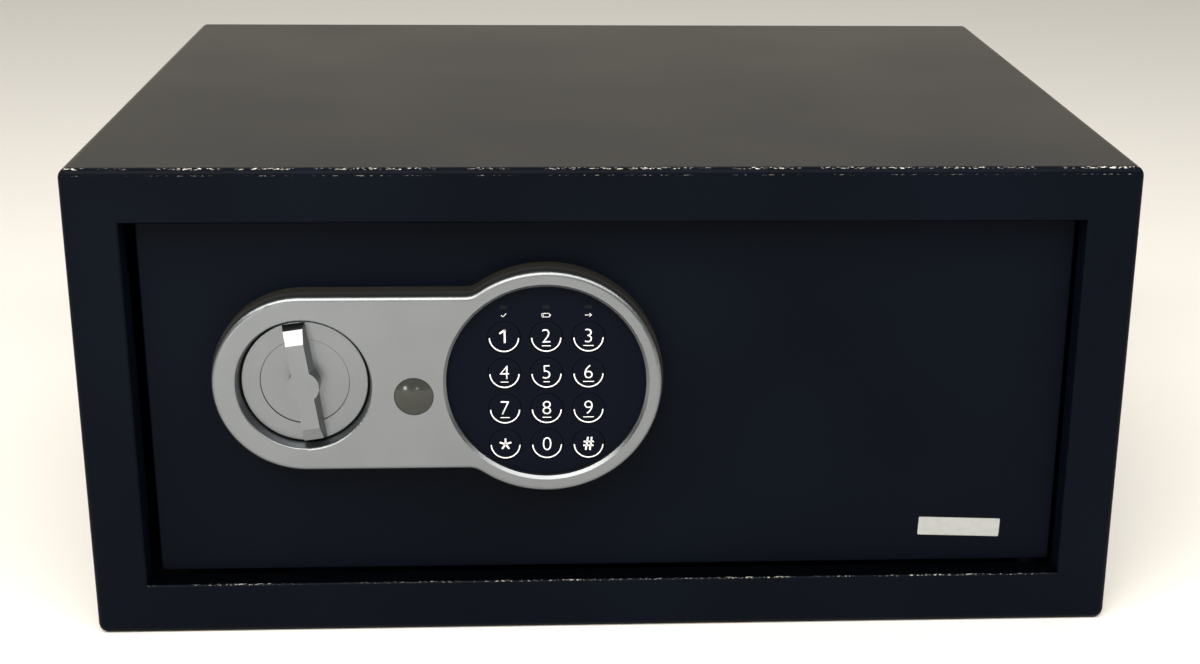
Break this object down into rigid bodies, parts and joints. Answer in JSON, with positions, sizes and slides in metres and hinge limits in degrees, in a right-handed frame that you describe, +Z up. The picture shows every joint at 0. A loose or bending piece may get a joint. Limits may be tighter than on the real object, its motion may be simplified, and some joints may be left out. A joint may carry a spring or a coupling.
{
  "type": "electronic safe",
  "caption": "Steel front-opening safe with a keypad and turning-knob lock panel on a recessed door, sliding bolts, key override and battery compartment.",
  "frame": {"origin": "centre of the underside of the cabinet, on the surface it stands on", "axes": "+X to the right seen from the front, +Z up, the door faces -Y"},
  "size_m": [0.43, 0.3557, 0.2],
  "materials": {
    "cabinet_paint": "semi-gloss powder coat",
    "bare_steel": "zinc plated",
    "mat_felt": "needle felt",
    "acetal": "natural",
    "black_acetal": "moulded",
    "silver_plastic": "satin silver paint",
    "charcoal_plastic": "moulded",
    "black_face": "semi-gloss",
    "key_plastic": "semi-gloss",
    "membrane_rubber": "moulded",
    "circuit_board": "solder mask",
    "smoked_lens": "smoked",
    "turned_brass": "turned",
    "wound_copper": "lacquered winding",
    "cap_plastic": "gloss",
    "lead_sheath": "extruded",
    "cell_wrap": "shrink wrap",
    "red_plastic": "moulded"
  },
  "bodies": {
    "cabinet": {"body_wrap": "cabinet_paint", "front_frame": "cabinet_paint", "back_panel": "cabinet_paint", "floor_mat": "mat_felt", "strike_plate": "cabinet_paint", "door_stop_tabs": "cabinet_paint", "hinge_brackets": "cabinet_paint"},
    "door": {"door_plate": "cabinet_paint", "hinge_lugs": "bare_steel", "hinge_pins": "bare_steel", "hinge_washer": "black_acetal", "panel_base": "charcoal_plastic", "panel_fascia": "silver_plastic", "panel_screws": "bare_steel", "keypad_face": "black_face", "keypad_membrane": "membrane_rubber", "keypad_board": "circuit_board", "led_lenses": "smoked_lens", "spindle_bush": "turned_brass", "bolt_guide": "bare_steel", "guide_studs": "bare_steel", "stud_clips": "bare_steel", "solenoid_frame": "bare_steel", "solenoid_coil": "wound_copper", "plunger_spring": "bare_steel", "override_lock_body": "turned_brass", "override_nut": "bare_steel", "inner_cover": "cabinet_paint", "cover_posts": "bare_steel", "cover_screws": "bare_steel", "control_board": "circuit_board", "board_posts": "bare_steel", "wire_harness": "lead_sheath", "battery_tray": "charcoal_plastic", "battery_cells": "cell_wrap", "reset_switch": "acetal"},
    "knob": {"knob": "silver_plastic", "knob_spindle": "bare_steel", "drive_cam": "bare_steel"},
    "bolt_work": {"bolt_carriage": "bare_steel", "locking_bolts": "bare_steel", "bolt_screws": "bare_steel"},
    "plunger": {"solenoid_plunger": "bare_steel"},
    "override_plug": {"override_core": "turned_brass", "override_cam": "bare_steel"},
    "cap": {"override_cap": "cap_plastic"},
    "battery_lid": {"battery_cover": "charcoal_plastic"},
    "code_button": {"reset_button": "red_plastic"},
    "key_1": {"key_1": "key_plastic"},
    "key_2": {"key_2": "key_plastic"},
    "key_3": {"key_3": "key_plastic"},
    "key_4": {"key_4": "key_plastic"},
    "key_5": {"key_5": "key_plastic"},
    "key_6": {"key_6": "key_plastic"},
    "key_7": {"key_7": "key_plastic"},
    "key_8": {"key_8": "key_plastic"},
    "key_9": {"key_9": "key_plastic"},
    "key_star": {"key_star": "key_plastic"},
    "key_0": {"key_0": "key_plastic"},
    "key_hash": {"key_hash": "key_plastic"}
  },
  "joints": [
    {"name": "door_hinge", "type": "hinge", "parent": "cabinet", "child": "door", "pos_m": [0.183, -0.156, 0.1], "axis": [0, 0, 1], "range_deg": [0, 90]},
    {"name": "knob_turn", "type": "hinge", "parent": "door", "child": "knob", "pos_m": [-0.1236, -0.185, 0.1113], "axis": [0, -1, 0], "range_deg": [0, 90]},
    {"name": "bolt_throw", "type": "slide", "parent": "door", "child": "bolt_work", "axis": [-1, 0, 0], "range_m": [0, 0.016]},
    {"name": "plunger_rise", "type": "slide", "parent": "door", "child": "plunger", "axis": [0, 0, 1], "range_m": [0, 0.004], "deforming": ["plunger_spring"]},
    {"name": "override_turn", "type": "hinge", "parent": "door", "child": "override_plug", "pos_m": [-0.0794, -0.18, 0.1062], "axis": [0, -1, 0], "range_deg": [0, 90]},
    {"name": "cap_pull", "type": "slide", "parent": "door", "child": "cap", "axis": [0, -1, 0], "range_m": [0, 0.02]},
    {"name": "battery_lid_slide", "type": "slide", "parent": "door", "child": "battery_lid", "axis": [0, 0, 1], "range_m": [0, 0.014]},
    {"name": "code_button_press", "type": "slide", "parent": "door", "child": "code_button", "axis": [0, -1, 0], "range_m": [0, 0.0015], "stiffness_N_per_m": 800, "springref_m": -0.0005},
    {"name": "key_1_press", "type": "slide", "parent": "door", "child": "key_1", "axis": [0, 1, 0], "range_m": [0, 0.001], "stiffness_N_per_m": 800, "springref_m": -0.0005},
    {"name": "key_2_press", "type": "slide", "parent": "door", "child": "key_2", "axis": [0, 1, 0], "range_m": [0, 0.001], "stiffness_N_per_m": 800, "springref_m": -0.0005},
    {"name": "key_3_press", "type": "slide", "parent": "door", "child": "key_3", "axis": [0, 1, 0], "range_m": [0, 0.001], "stiffness_N_per_m": 800, "springref_m": -0.0005},
    {"name": "key_4_press", "type": "slide", "parent": "door", "child": "key_4", "axis": [0, 1, 0], "range_m": [0, 0.001], "stiffness_N_per_m": 800, "springref_m": -0.0005},
    {"name": "key_5_press", "type": "slide", "parent": "door", "child": "key_5", "axis": [0, 1, 0], "range_m": [0, 0.001], "stiffness_N_per_m": 800, "springref_m": -0.0005},
    {"name": "key_6_press", "type": "slide", "parent": "door", "child": "key_6", "axis": [0, 1, 0], "range_m": [0, 0.001], "stiffness_N_per_m": 800, "springref_m": -0.0005},
    {"name": "key_7_press", "type": "slide", "parent": "door", "child": "key_7", "axis": [0, 1, 0], "range_m": [0, 0.001], "stiffness_N_per_m": 800, "springref_m": -0.0005},
    {"name": "key_8_press", "type": "slide", "parent": "door", "child": "key_8", "axis": [0, 1, 0], "range_m": [0, 0.001], "stiffness_N_per_m": 800, "springref_m": -0.0005},
    {"name": "key_9_press", "type": "slide", "parent": "door", "child": "key_9", "axis": [0, 1, 0], "range_m": [0, 0.001], "stiffness_N_per_m": 800, "springref_m": -0.0005},
    {"name": "key_star_press", "type": "slide", "parent": "door", "child": "key_star", "axis": [0, 1, 0], "range_m": [0, 0.001], "stiffness_N_per_m": 800, "springref_m": -0.0005},
    {"name": "key_0_press", "type": "slide", "parent": "door", "child": "key_0", "axis": [0, 1, 0], "range_m": [0, 0.001], "stiffness_N_per_m": 800, "springref_m": -0.0005},
    {"name": "key_hash_press", "type": "slide", "parent": "door", "child": "key_hash", "axis": [0, 1, 0], "range_m": [0, 0.001], "stiffness_N_per_m": 800, "springref_m": -0.0005}
  ],
  "couplings": [
    {"joint": "knob_turn", "follows": "bolt_throw", "rad_per_m": 98.17}
  ]
}
